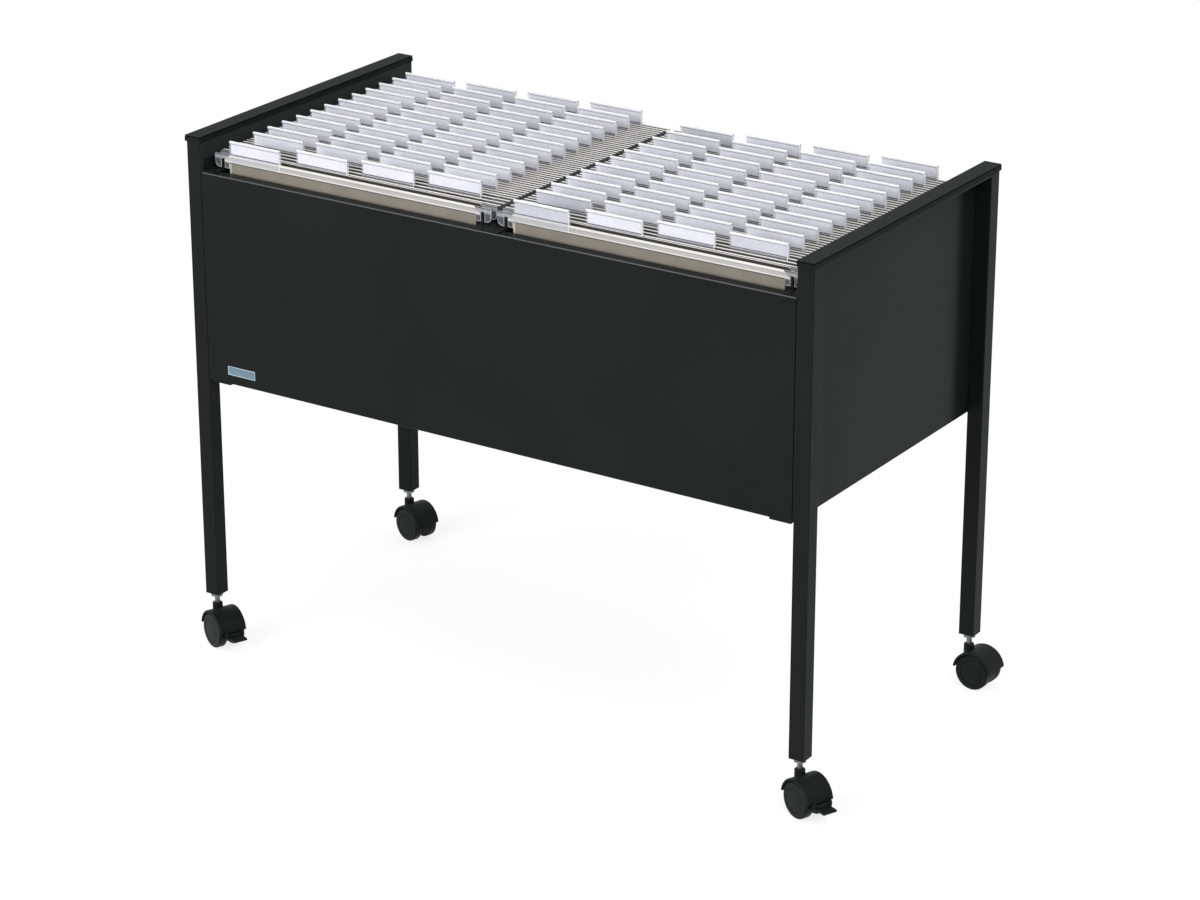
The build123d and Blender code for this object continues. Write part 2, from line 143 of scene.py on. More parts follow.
class Value:
    """A number that varies over a surface, with operators that add Math nodes."""

    def __init__(self, tree: ShaderTree, socket: bpy.types.NodeSocket) -> None:
        """Wrap an output socket.

        Args:
            tree: The tree that the socket belongs to.
            socket: The output socket that carries the number.
        """
        self.tree = tree
        self.socket = socket

    def _math(self, operation: str, *operands: Operand) -> Value:
        """Add one Math node.

        Args:
            operation: The node's operation.
            operands: Its inputs, in order.

        Returns:
            The node's result.
        """
        inputs = dict(enumerate(operands))
        return self.tree.value("ShaderNodeMath", {"operation": operation}, inputs)

    def __add__(self, other: Operand) -> Value:
        """Sum."""
        return self._math("ADD", self, other)

    def __radd__(self, other: Operand) -> Value:
        """Sum with a number on the left."""
        return self._math("ADD", other, self)

    def __sub__(self, other: Operand) -> Value:
        """Difference."""
        return self._math("SUBTRACT", self, other)

    def __rsub__(self, other: Operand) -> Value:
        """Difference with a number on the left."""
        return self._math("SUBTRACT", other, self)

    def __mul__(self, other: Operand) -> Value:
        """Product."""
        return self._math("MULTIPLY", self, other)

    def __rmul__(self, other: Operand) -> Value:
        """Product with a number on the left."""
        return self._math("MULTIPLY", other, self)

    def __truediv__(self, other: Operand) -> Value:
        """Quotient."""
        return self._math("DIVIDE", self, other)

    def __rtruediv__(self, other: Operand) -> Value:
        """Quotient with a number on the left."""
        return self._math("DIVIDE", other, self)

    def absolute(self) -> Value:
        """The size without the sign."""
        return self._math("ABSOLUTE", self)

    def larger(self, other: Operand) -> Value:
        """The larger of the two."""
        return self._math("MAXIMUM", self, other)

    def swing(self, reach: float) -> Value:
        """How far it lies from a half, times a reach."""
        return (self - 0.5) * reach

    def saw(self) -> Value:
        """One at each whole number and zero half way between two."""
        return (self._math("FRACT", self) - 0.5).absolute() * 2.0

    def ramp(self, low: float, high: float) -> Value:
        """Run from zero at one value to one at another, smoothly and held at the ends.

        Args:
            low: The value that gives zero.
            high: The value that gives one.

        Returns:
            The ramped value.
        """
        settings = {"interpolation_type": "SMOOTHSTEP"}
        inputs = {"Value": self, "From Min": low, "From Max": high, "To Min": 0.0, "To Max": 1.0}
        return self.tree.value("ShaderNodeMapRange", settings, inputs)

    def band(self, low: float, high: float, soft: float) -> Value:
        """One between two values and zero outside them.

        Args:
            low: Where the band starts.
            high: Where it ends.
            soft: The width of its soft ends, inside the band.

        Returns:
            The share.
        """
        return self.ramp(low, low + soft) * (1.0 - self.ramp(high - soft, high))


Operand = Union[Value, float]
Link = Union[Value, bpy.types.NodeSocket, float, Sequence[float]]
Inputs = Mapping[Union[str, int], Link]
Settings = Mapping[str, object]


class ShaderTree:
    """The node tree of a material or a world, made afresh."""

    def __init__(self, owner: bpy.types.Material | bpy.types.World) -> None:
        """Empty the owner's tree.

        Args:
            owner: What the tree belongs to.
        """
        owner.use_nodes = True
        self.owner = owner
        self.nodes = owner.node_tree.nodes
        self.links = owner.node_tree.links
        self.nodes.clear()

    def node(
        self, kind: str, settings: Settings | None = None, inputs: Inputs | None = None
    ) -> bpy.types.Node:
        """Add one node.

        Args:
            kind: The node's type.
            settings: Its own settings, which are set first.
            inputs: Values or links of its sockets, by name or by number.

        Returns:
            The node.
        """
        made = self.nodes.new(kind)
        for key, setting in (settings or {}).items():
            setattr(made, key, setting)
        for key, given in (inputs or {}).items():
            source = given.socket if isinstance(given, Value) else given
            if isinstance(source, bpy.types.NodeSocket):
                self.links.new(source, made.inputs[key])
            else:
                made.inputs[key].default_value = source
        return made

    def value(
        self,
        kind: str,
        settings: Settings | None = None,
        inputs: Inputs | None = None,
        output: str | int = 0,
    ) -> Value:
        """Add one node and take one of its outputs as a number.

        Args:
            kind: The node's type.
            settings: Its own settings.
            inputs: Values or links of its sockets.
            output: The output socket to take.

        Returns:
            The output.
        """
        return Value(self, self.node(kind, settings, inputs).outputs[output])

    def place(self, scale: Sequence[float] = (1.0, 1.0, 1.0)) -> bpy.types.NodeSocket:
        """Object coordinates, with factors along X, Y and Z."""
        inputs = {"Vector": self.node("ShaderNodeTexCoord").outputs["Object"], "Scale": scale}
        return self.node("ShaderNodeMapping", None, inputs).outputs[0]

    def axis(self, name: str) -> Value:
        """The X, Y or Z of the object coordinates."""
        return self.value("ShaderNodeSeparateXYZ", None, {"Vector": self.place()}, name)

    def noise(
        self, cells: float | Sequence[float], detail: float = 2.0, rough: float = 0.5
    ) -> Value:
        """Noise between zero and one.

        Args:
            cells: Its cells per metre, all ways or along X, Y and Z.
            detail: Its finer layers.
            rough: The strength of the finer layers.

        Returns:
            The noise.
        """
        even = isinstance(cells, float)
        inputs = {
            "Vector": self.place() if even else self.place(cells),
            "Scale": cells if even else 1.0,
            "Detail": detail,
            "Roughness": rough,
        }
        return self.value("ShaderNodeTexNoise", {"noise_dimensions": "3D"}, inputs)

    def blend(self, share: Operand, first: Link, second: Link) -> bpy.types.NodeSocket:
        """Mix two colours.

        Args:
            share: The share of the second.
            first: The first colour.
            second: The second colour.

        Returns:
            The mixed colour.
        """
        ends = [(*end, 1.0) if isinstance(end, tuple) else end for end in (first, second)]
        settings = {"data_type": "RGBA", "clamp_factor": True}
        made = self.node("ShaderNodeMix", settings, {0: share, 6: ends[0], 7: ends[1]})
        return made.outputs[2]

    def bump(self, height: Value, strength: float, depth: float) -> bpy.types.NodeSocket:
        """A bumped normal.

        Args:
            height: The height, from zero to one.
            strength: The share of the effect.
            depth: What a height of one stands for, in metres.

        Returns:
            The normal.
        """
        inputs = {"Height": height, "Strength": strength, "Distance": depth}
        return self.node("ShaderNodeBump", None, inputs).outputs["Normal"]

    def seen(self) -> Value:
        """Tell light that leads to the camera from light that falls on something.

        Returns:
            One for what is seen directly, mirrored or through something clear, or else zero.
        """
        outputs = self.node("ShaderNodeLightPath").outputs
        rays = ("Is Camera Ray", "Is Glossy Ray", "Is Transmission Ray")
        direct, mirrored, through = (Value(self, outputs[ray]) for ray in rays)
        return direct.larger(mirrored).larger(through)

    def surface(
        self, base: Link, rough: Link, normal: Link, others: Inputs
    ) -> bpy.types.Material:
        """Close a material's tree with one Principled shader.

        Args:
            base: Its colour.
            rough: Its roughness.
            normal: Its bumped normal.
            others: Its other values and links.

        Returns:
            The material.
        """
        inputs = {"Base Color": base, "Roughness": rough, "Normal": normal, **others}
        shader = self.node("ShaderNodeBsdfPrincipled", None, inputs)
        self.node("ShaderNodeOutputMaterial", None, {"Surface": shader.outputs[0]})
        return self.owner


def shaded(colour: Colour, factor: float) -> Colour:
    """A colour with each channel multiplied by a factor."""
    return tuple(min(1.0, channel * factor) for channel in colour)


# Finishes


@dataclass(frozen=True)
class Finish:
    """What every finish has: the name of its material and its main colour."""

    name: str
    colour: Colour

    def start(self) -> ShaderTree:
        """The empty tree of a new material."""
        return ShaderTree(bpy.data.materials.new(self.name))

    def drift(
        self, share: Value, dark: float, light: float, low: float = 0.3, high: float = 0.7
    ) -> bpy.types.NodeSocket:
        """The main colour, drifting between two shades of itself.

        Args:
            share: The noise that it drifts with.
            dark: The factor of the darker shade.
            light: The factor of the lighter shade.
            low: The noise that gives the darker shade.
            high: The noise that gives the lighter shade.

        Returns:
            The colour.
        """
        ends = [shaded(self.colour, factor) for factor in (dark, light)]
        return share.tree.blend(share.ramp(low, high), *ends)


@dataclass(frozen=True)
class PowderCoat(Finish):
    """Satin powder coat on steel, with the fine orange peel that it dries to.

    A highlight edge is the height and the distance from the middle along Y of a sheet's outer
    corner, painted paler as a painted highlight. A seam shade is the heights of a groove that
    is painted dark, as painted shade. Faces nearer to the middle along X than the inner half
    are painted paler, as painted light.
    """

    roughness: float = 0.24
    gloss: float = 0.045
    highlight_edge: tuple[float, float] | None = None
    highlight_colour: Colour = (0.16, 0.17, 0.17)
    seam: tuple[float, float] | None = None
    inner_half: float | None = None

    def material(self) -> bpy.types.Material:
        """Build the coat.

        Returns:
            Its material.
        """
        tree = self.start()
        grain = tree.noise(1700.0, 3.0, 0.6)
        peel = tree.noise(420.0)
        cloud = tree.noise(7.0, 3.0, 0.55)
        speck = tree.noise(900.0, 1.0, 0.4).ramp(0.62, 0.78)
        base = self.drift(cloud, 0.92, 1.08)
        base = tree.blend(speck * 0.3, base, shaded(self.colour, 1.5))
        # painted highlight: the sheet's outer top corner is painted paler
        if self.highlight_edge:
            top, outer = self.highlight_edge
            height = tree.axis("Z").ramp(top - 1.2 * MM, top - 0.8 * MM)
            depth = tree.axis("Y").absolute().ramp(outer - 1.1 * MM, outer - 0.7 * MM)
            base = tree.blend(height * depth * (0.55 + grain.swing(0.4)), base, self.highlight_colour)
        # painted light: faces nearer to the middle than the inner half are painted paler
        if self.inner_half:
            edge = (self.inner_half - 0.1 * MM, self.inner_half + 0.1 * MM)
            inside = 1.0 - tree.axis("X").absolute().ramp(*edge)
            base = tree.blend(inside, base, shaded(self.colour, 2.2))
        rough = self.roughness + cloud.swing(0.08) + grain.swing(0.06)
        # painted shade: the groove between the two heights is painted nearly black
        if self.seam:
            groove = tree.axis("Z").band(*self.seam, 0.1 * MM)
            base = tree.blend(groove, base, shaded(self.colour, 0.05))
            rough = rough + groove * 0.5
        normal = tree.bump(grain * 0.45 + peel * 0.55, 0.3, 0.04 * MM)
        return tree.surface(base, rough, normal, {SHINE: self.gloss})


@dataclass(frozen=True)
class MouldedPlastic(Finish):
    """Hard moulded plastic with a fine spark-eroded grain."""

    roughness: float = 0.5
    gloss: float = 0.1

    def material(self) -> bpy.types.Material:
        """Build the plastic.

        Returns:
            Its material.
        """
        tree = self.start()
        fine = tree.noise(2600.0, 2.0, 0.6)
        flow = tree.noise(60.0, 3.0)
        base = self.drift(flow, 0.85, 1.18, 0.25, 0.75)
        rough = self.roughness + fine.swing(0.12) + flow.swing(0.1)
        return tree.surface(base, rough, tree.bump(fine, 0.4, 0.04 * MM), {SHINE: self.gloss})


@dataclass(frozen=True)
class BrightSteel(Finish):
    """Zinc plated steel with the fine turning marks of a rod."""

    roughness: float = 0.28

    def material(self) -> bpy.types.Material:
        """Build the metal.

        Returns:
            Its material.
        """
        tree = self.start()
        turned = tree.noise((60.0, 60.0, 2400.0), 2.0, 0.6)
        dull = tree.noise(240.0, 3.0, 0.6).ramp(0.35, 0.75)
        base = tree.blend(dull, self.colour, shaded(self.colour, 0.7))
        rough = self.roughness + dull * 0.16 + turned.swing(0.12)
        return tree.surface(base, rough, tree.bump(turned, 0.35, 0.05 * MM), {"Metallic": 1.0})


@dataclass(frozen=True)
class BrushedSheet(Finish):
    """Brushed sheet metal, with strokes along X."""

    roughness: float = 0.34
    metal: float = 0.9

    def material(self) -> bpy.types.Material:
        """Build the metal.

        Returns:
            Its material.
        """
        tree = self.start()
        strokes = tree.noise((45.0, 2600.0, 2600.0), 3.0, 0.7)
        haze = tree.noise(55.0)
        ends = [shaded(self.colour, factor) for factor in (0.84, 1.14)]
        base = tree.blend(strokes, *ends)
        rough = self.roughness + strokes.swing(0.18) + haze.swing(0.1)
        normal = tree.bump(strokes, 0.3, 0.04 * MM)
        return tree.surface(base, rough, normal, {"Metallic": self.metal})


@dataclass(frozen=True)
class FolderCard(Finish):
    """Dense folder card with short fibres and a faint mottle."""

    fibre: Colour
    roughness: float = 0.72

    def material(self) -> bpy.types.Material:
        """Build the card.

        Returns:
            Its material.
        """
        tree = self.start()
        across = tree.noise((260.0, 900.0, 1500.0), 3.0, 0.65)
        mottle = tree.noise(34.0, 4.0, 0.6)
        fleck = tree.noise((700.0, 700.0, 1900.0), 1.0).ramp(0.66, 0.78)
        base = self.drift(mottle, 0.93, 1.07)
        base = tree.blend(across.swing(1.0).absolute() * 0.5, base, shaded(self.colour, 0.8))
        base = tree.blend(fleck * 0.4, base, self.fibre)
        normal = tree.bump(across * 0.6 + mottle * 0.4, 0.35, 0.08 * MM)
        rough = self.roughness + mottle.swing(0.12)
        return tree.surface(base, rough, normal, {SHINE: 0.3})


@dataclass(frozen=True)
class BarPlastic(Finish):
    """Smooth side of a suspension bar: extruded plastic with faint die lines along X."""

    roughness: float = 0.34

    def material(self) -> bpy.types.Material:
        """Build the plastic.

        Returns:
            Its material.
        """
        tree = self.start()
        lines = tree.noise((12.0, 1800.0, 1800.0), 3.0, 0.6)
        base = self.drift(tree.noise((9.0, 60.0, 60.0)), 0.93, 1.05)
        rough = self.roughness + lines.swing(0.16)
        return tree.surface(base, rough, tree.bump(lines, 0.4, 0.08 * MM), {SHINE: 0.5})


@dataclass(frozen=True)
class RibbedTop(Finish):
    """Top of a suspension bar, crossed by narrow slots at one even pitch."""

    slot_colour: Colour
    pitch: float = 4.1 * MM
    slot_share: float = 0.2
    roughness: float = 0.36

    def material(self) -> bpy.types.Material:
        """Build the ribbed plastic.

        Returns:
            Its material.
        """
        tree = self.start()
        edge = (1.0 - self.slot_share * 1.4, 1.0 - self.slot_share * 0.4)
        slot = (tree.axis("X") / self.pitch).saw().ramp(*edge)
        base = self.drift(tree.noise((14.0, 300.0, 300.0)), 0.94, 1.04)
        base = tree.blend(slot * 0.15, base, self.slot_colour)
        normal = tree.bump(1.0 - slot, 0.7, 0.4 * MM)
        return tree.surface(base, self.roughness + slot * 0.25, normal, {SHINE: 0.5})


@dataclass(frozen=True)
class ClearPlastic(Finish):
    """Clear moulded plastic, seen partly through, with faint flow marks and dust.

    The cover is how much of the view it takes, and between the two heights of a hollow it is
    painted darker, as painted shade.
    """

    cover: float
    roughness: float = 0.12
    hollow: tuple[float, float] | None = None

    def material(self) -> bpy.types.Material:
        """Build the plastic.

        Returns:
            Its material.
        """
        tree = self.start()
        flow = tree.noise((160.0, 160.0, 420.0), 3.0, 0.6)
        dust = tree.noise(1200.0, 1.0).ramp(0.6, 0.8)
        base = self.drift(flow, 0.9, 1.05)
        # painted shade: a darker band between the two heights
        if self.hollow:
            inside = tree.axis("Z").band(*self.hollow, 0.3 * MM)
            base = tree.blend(inside, base, shaded(self.colour, 0.66))
        others = {"IOR": 1.49, "Alpha": self.cover + flow.swing(0.12) + dust * 0.05}
        rough = self.roughness + dust * 0.2
        return tree.surface(base, rough, tree.bump(flow, 0.25, 0.2 * MM), others)


@dataclass(frozen=True)
class LabelPaper(Finish):
    """Plain label paper with a soft fibre."""

    roughness: float = 0.7

    def material(self) -> bpy.types.Material:
        """Build the paper.

        Returns:
            Its material.
        """
        tree = self.start()
        fibre = tree.noise((500.0, 500.0, 900.0), 3.0, 0.65)
        base = self.drift(tree.noise(18.0), 0.95, 1.04)
        strands = fibre.swing(1.0).absolute() * 0.3
        base = tree.blend(strands, base, shaded(self.colour, 0.85))
        rough = self.roughness + fibre.swing(0.1)
        return tree.surface(base, rough, tree.bump(fibre, 0.2, 0.05 * MM), {SHINE: 0.3})


@dataclass(frozen=True)
class SheetStack(Finish):
    """Papers that lie face to face, whose edges show as thin lines stacked along Y."""

    line_colour: Colour
    sheet: float = 0.32 * MM

    def material(self) -> bpy.types.Material:
        """Build the stack.

        Returns:
            Its material.
        """
        tree = self.start()
        wander = tree.noise((22.0, 22.0, 22.0))
        line = (tree.axis("Y") / self.sheet + wander * 2.0).saw().ramp(0.55, 0.95)
        tone = tree.noise((40.0, 900.0, 40.0))
        base = tree.blend(line * 0.7, self.colour, self.line_colour)
        base = tree.blend(tone * 0.3, base, shaded(self.colour, 0.86))
        normal = tree.bump(1.0 - line, 0.5, 0.15 * MM)
        return tree.surface(base, 0.78 + tone.swing(0.1), normal, {SHINE: 0.25})


class Palette:
    """All the finishes of the trolley and its files, each built once."""

    def __init__(self) -> None:
        """Build every finish."""
        coat = (0.0122, 0.0138, 0.0134)
        # painted highlight along the top front corner of the front and back panels
        panel_highlight = (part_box("front_panel")[1].z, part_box("back_panel")[1].y)
        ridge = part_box("front_file_tab_left")[1].z
        # painted shade: a darker band on the tab holders' ridge, under its top
        hollow = (ridge - 1.7 * MM, ridge - 0.6 * MM)
        cap_top = CAD_BOX[1].z
        # painted shade: the dark line in the cap strip's seam groove
        cap_seam_shade = (cap_top - 1.75 * MM, cap_top - 0.75 * MM)
        # painted light: the side panels' inner faces are painted paler
        inner_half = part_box("leg_front_right")[0].x - 0.5 * MM
        finishes = (
            PowderCoat("black_powder_coat", coat),
            PowderCoat("panel_powder_coat", coat, highlight_edge=panel_highlight),
            PowderCoat("side_powder_coat", coat, inner_half=inner_half),
            PowderCoat("black_cap_coat", coat, 0.5, 0.028, seam=cap_seam_shade),
            MouldedPlastic("hood_plastic", (0.0068, 0.0076, 0.0078)),
            MouldedPlastic("wheel_plastic", (0.0060, 0.0068, 0.0066), 0.42),
            MouldedPlastic("wheel_disc_plastic", (0.0062, 0.0072, 0.0066), 0.46),
            BrightSteel("bright_zinc", (0.20, 0.205, 0.21)),
            BrushedSheet("plate_aluminium", (0.155, 0.235, 0.295)),
            BrushedSheet("plate_rim", (0.55, 0.63, 0.68), 0.22),
            FolderCard("folder_card", (0.222, 0.207, 0.171), (0.31, 0.29, 0.25)),
            FolderCard("card_edge", (0.46, 0.42, 0.37), (0.55, 0.5, 0.45)),
            # painted shadow: the dark band of card under the open file's bar
            FolderCard("card_shadow_band", (0.035, 0.03, 0.027), (0.06, 0.05, 0.05)),
            BarPlastic("bar_bead", (0.72, 0.71, 0.685), 0.25),
            BarPlastic("bar_face", (0.44, 0.425, 0.41)),
            # painted shade: the open bar's groove and the faces under its lower rim
            BarPlastic("bar_groove_shade", (0.26, 0.24, 0.22), 0.5),
            RibbedTop("bar_top", (0.80, 0.79, 0.75), (0.26, 0.26, 0.25)),
            # painted shade: the bar bevels that face the gap to the next file
            BarPlastic("bar_gap_shade", (0.035, 0.033, 0.032), 0.6),
            ClearPlastic("hook_clear", (0.16, 0.18, 0.20), 0.34),
            # painted highlight: the rims of the open file's hooks
            ClearPlastic("hook_edge_highlight", (0.78, 0.81, 0.84), 0.85),
            ClearPlastic("hook_block", (0.52, 0.54, 0.57), 0.42),
            # painted shade: the hooks' gap bevels, open tips and closed rims
            ClearPlastic("hook_tip_shade", (0.05, 0.056, 0.06), 0.78),
            ClearPlastic("hook_end", (0.17, 0.19, 0.195), 0.85),
            ClearPlastic("sleeve_clear", (0.80, 0.82, 0.90), 0.16),
            ClearPlastic("sleeve_ridge", (0.90, 0.905, 0.94), 0.94, hollow=hollow),
            # painted shade: the crease under the tab holder's ridge and the band under the label
            ClearPlastic("sleeve_crease", (0.10, 0.10, 0.13), 0.66),
            ClearPlastic("sleeve_edge", (0.92, 0.93, 0.95), 0.88),
            LabelPaper("label_paper", (0.84, 0.83, 0.895)),
            # painted shadow: the rim round each label
            LabelPaper("label_rim_shade", (0.50, 0.50, 0.56)),
            SheetStack("paper_stack", (0.80, 0.79, 0.76), (0.42, 0.41, 0.40)),
        )
        self.materials = {finish.name: finish.material() for finish in finishes}

    def pick(self, *names: str) -> list[bpy.types.Material]:
        """The materials of some finishes, in order."""
        return [self.materials[name] for name in names]

    def dress(self, finish: str, *nodes: str) -> None:
        """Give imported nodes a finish.

        Args:
            finish: Its name.
            nodes: The nodes' names.
        """
        for name in nodes:
            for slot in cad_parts[name].material_slots:
                slot.material = self.materials[finish]
        LOG.info("%-28s on %s", finish, ", ".join(nodes))


# Meshes


def islands(node: str) -> list[Corners]:
    """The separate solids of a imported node.

    Args:
        node: The node's name.

    Returns:
        The lowest and highest corner of each solid, ordered from front to back and then
        from left to right.
    """
    shape = bmesh.new()
    shape.from_mesh(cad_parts[node].data)
    bmesh.ops.remove_doubles(shape, verts=shape.verts, dist=HAIR)
    found: list[Corners] = []
    seen: set[int] = set()
    shape.verts.ensure_lookup_table()
    for start in shape.verts:
        if start.index in seen:
            continue
        low, high = start.co.copy(), start.co.copy()
        seen.add(start.index)
        waiting = [start]
        while waiting:
            vert = waiting.pop()
            low = Vector(map(min, low, vert.co))
            high = Vector(map(max, high, vert.co))
            for edge in vert.link_edges:
                other = edge.other_vert(vert)
                if other.index not in seen:
                    seen.add(other.index)
                    waiting.append(other)
        found.append((low, high))
    shape.free()
    return sorted(found, key=lambda box: (round(box[0].y, 5), round(box[0].x, 5)))


def middle(box: Corners) -> Vector:
    """The middle of a box."""
    return (box[0] + box[1]) / 2


def on_top(box: Corners) -> Matrix:
    """The place in the middle of a box's top."""
    return Matrix.Translation((*middle(box).xy, box[1].z))


def of_kind(geometry: Iterable[object], kind: type) -> list:
    """The vertices, edges or faces among the results of an operator."""
    return [item for item in geometry if isinstance(item, kind)]


class Template:
    """A small shape that is drawn once, round the origin, and stamped many times."""

    def __init__(self, name: str) -> None:
        """Start an empty shape.

        Args:
            name: The name of its mesh.
        """
        self.name = name
        self.shape = bmesh.new()
        self.mesh: bpy.types.Mesh | None = None

    @property
    def faces(self) -> bmesh.types.BMFaceSeq:
        """The faces of the shape."""
        return self.shape.faces

    def block(self, low: Sequence[float], high: Sequence[float]) -> None:
        """Add a box between two corners.

        Args:
            low: The lowest corner.
            high: The highest corner.
        """
        size = [b - a for a, b in zip(low, high)]
        centre = [(a + b) / 2 for a, b in zip(low, high)]
        place = Matrix.Translation(centre) @ Matrix.Diagonal((*size, 1.0))
        bmesh.ops.create_cube(self.shape, size=1.0, matrix=place)

    def pull(self, points: Iterable[Vector], step: Vector) -> None:
        """Add a solid from the corners of its end face.

        Args:
            points: The corners, in order.
            step: How far the face is pulled.
        """
        ring = [self.shape.verts.new(point) for point in points]
        face = self.shape.faces.new(ring)
        made = bmesh.ops.extrude_face_region(self.shape, geom=[face])
        moved = of_kind(made["geom"], bmesh.types.BMVert)
        bmesh.ops.translate(self.shape, verts=moved, vec=step)
        faces = list({f for vert in ring + moved for f in vert.link_faces})
        bmesh.ops.recalc_face_normals(self.shape, faces=faces)

    def cut(self, place: Sequence[float], normal: Sequence[float], away: bool = False) -> None:
        """Cut the shape with a plane.

        Args:
            place: A point on the plane.
            normal: The plane's normal.
            away: Whether the part beyond the plane is taken away and the cut closed.
        """
        made = bmesh.ops.bisect_plane(
            self.shape,
            geom=self.shape.verts[:] + self.shape.edges[:] + self.shape.faces[:],
            dist=WELD,
            plane_co=place,
            plane_no=normal,
            clear_outer=away,
        )
        if away:
            rim = of_kind(made["geom_cut"], bmesh.types.BMEdge)
            bmesh.ops.contextual_create(self.shape, geom=rim)

    def strip(self, profile: Line, low: float, high: float, wall: float) -> None:
        """Add a folded sheet from its outer line in Y and Z, pulled along X.

        Args:
            profile: The outer line of the sheet, in order.
            low: Where the sheet starts.
            high: Where it ends.
            wall: Its thickness.
        """
        line = [self.shape.verts.new((low, y, z)) for y, z in profile]
        edges = [self.shape.edges.new(pair) for pair in zip(line, line[1:])]
        made = bmesh.ops.extrude_edge_only(self.shape, edges=edges)
        moved = of_kind(made["geom"], bmesh.types.BMVert)
        bmesh.ops.translate(self.shape, verts=moved, vec=(high - low, 0.0, 0.0))
        faces = of_kind(made["geom"], bmesh.types.BMFace)
        bmesh.ops.recalc_face_normals(self.shape, faces=faces)
        front = min(faces, key=lambda face: face.calc_center_median().y)
        if front.normal.y > 0:
            bmesh.ops.reverse_faces(self.shape, faces=faces)
        bmesh.ops.solidify(self.shape, geom=faces, thickness=wall)
        self.shape.normal_update()

    def soften(
        self, edges: Iterable[bmesh.types.BMEdge], radius: float, steps: int = 1
    ) -> list[bmesh.types.BMFace]:
        """Round some edges.

        Args:
            edges: The edges.
            radius: How far the rounding reaches.
            steps: The faces across it.

        Returns:
            The faces of the rounding.
        """
        made = bmesh.ops.bevel(
            self.shape,
            geom=list(edges),
            offset=radius,
            offset_type="OFFSET",
            affect="EDGES",
            segments=steps,
            profile=0.5,
            material=-1,
            clamp_overlap=True,
        )
        return made["faces"]

    def spun(self, profile: Line, steps: int = 48) -> None:
        """Add a round shape, turned about the Y axis from a line of radius and Y.

        Args:
            profile: Radius and Y of the line, in order.
            steps: The faces around it.
        """
        line = [self.shape.verts.new((radius, y, 0.0)) for radius, y in profile]
        edges = [self.shape.edges.new(pair) for pair in zip(line, line[1:])]
        bmesh.ops.spin(
            self.shape,
            geom=line + edges,
            cent=(0, 0, 0),
            axis=(0, 1, 0),
            angle=math.tau,
            steps=steps,
            use_merge=True,
        )
        bmesh.ops.remove_doubles(self.shape, verts=self.shape.verts, dist=WELD)
        bmesh.ops.recalc_face_normals(self.shape, faces=self.shape.faces)

    def frame_front(self, width: float) -> bmesh.types.BMFace:
        """Divide the front face of a block into a field and the edge round it.

        Args:
            width: The width of the edge.

        Returns:
            The field.
        """
        front = min(self.shape.faces, key=lambda face: face.normal.y)
        made = bmesh.ops.inset_region(self.shape, faces=[front], thickness=width, depth=0.0)
        for face in made["faces"]:
            face.material_index = SheetFace.EDGE
        return front

    def square_edges(self) -> list[bmesh.types.BMEdge]:
        """The edges whose two faces meet at about a right angle."""
        return [e for e in self.shape.edges if e.is_manifold and e.calc_face_angle() > SQUARE]

    def close(self) -> bpy.types.Mesh:
        """Turn the shape into its mesh, when it is first asked for.

        Returns:
            The mesh.
        """
        if self.mesh is None:
            self.mesh = bpy.data.meshes.new(self.name)
            self.shape.normal_update()
            self.shape.to_mesh(self.mesh)
            self.shape.free()
        return self.mesh


class Piece:
    """A named visual piece: stamps of templates, gathered in one mesh."""

    def __init__(self, name: str, finishes: Sequence[bpy.types.Material]) -> None:
        """Start an empty piece.

        Args:
            name: The name of its object.
            finishes: Its materials, in the order of its faces' numbers.
        """
        self.name = name
        self.finishes = list(finishes)
        self.shape = bmesh.new()

    def stamp(self, template: Template, place: Matrix) -> None:
        """Add one copy of a template.

        Args:
            template: The shape.
            place: Where it goes.
        """
        before = len(self.shape.verts)
        self.shape.from_mesh(template.close())
        self.shape.verts.ensure_lookup_table()
        added = self.shape.verts[before:]
        bmesh.ops.transform(self.shape, matrix=place, verts=added)
        if place.determinant() < 0:
            turned = list({face for vert in added for face in vert.link_faces})
            bmesh.ops.reverse_faces(self.shape, faces=turned)

    def finish(self, body: str, slot: str, replaces: Sequence[str] = ()) -> None:
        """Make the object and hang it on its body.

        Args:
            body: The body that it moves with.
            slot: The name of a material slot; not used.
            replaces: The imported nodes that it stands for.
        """
        mesh = bpy.data.meshes.new(self.name)
        for face in self.shape.faces:
            face.smooth = True
        for edge in self.shape.edges:
            if edge.is_manifold and edge.calc_face_angle(0.0) > SMOOTH:
                edge.smooth = False
        self.shape.to_mesh(mesh)
        count = len(self.shape.faces)
        self.shape.free()
        for finish in self.finishes:
            mesh.materials.append(finish)
        made = bpy.data.objects.new(self.name, mesh)
        bpy.context.scene.collection.objects.link(made)
        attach(made, body)
        if replaces:
            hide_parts(*replaces)
        LOG.info("%-28s %7d faces, on %s", self.name, count, body)


# Frame


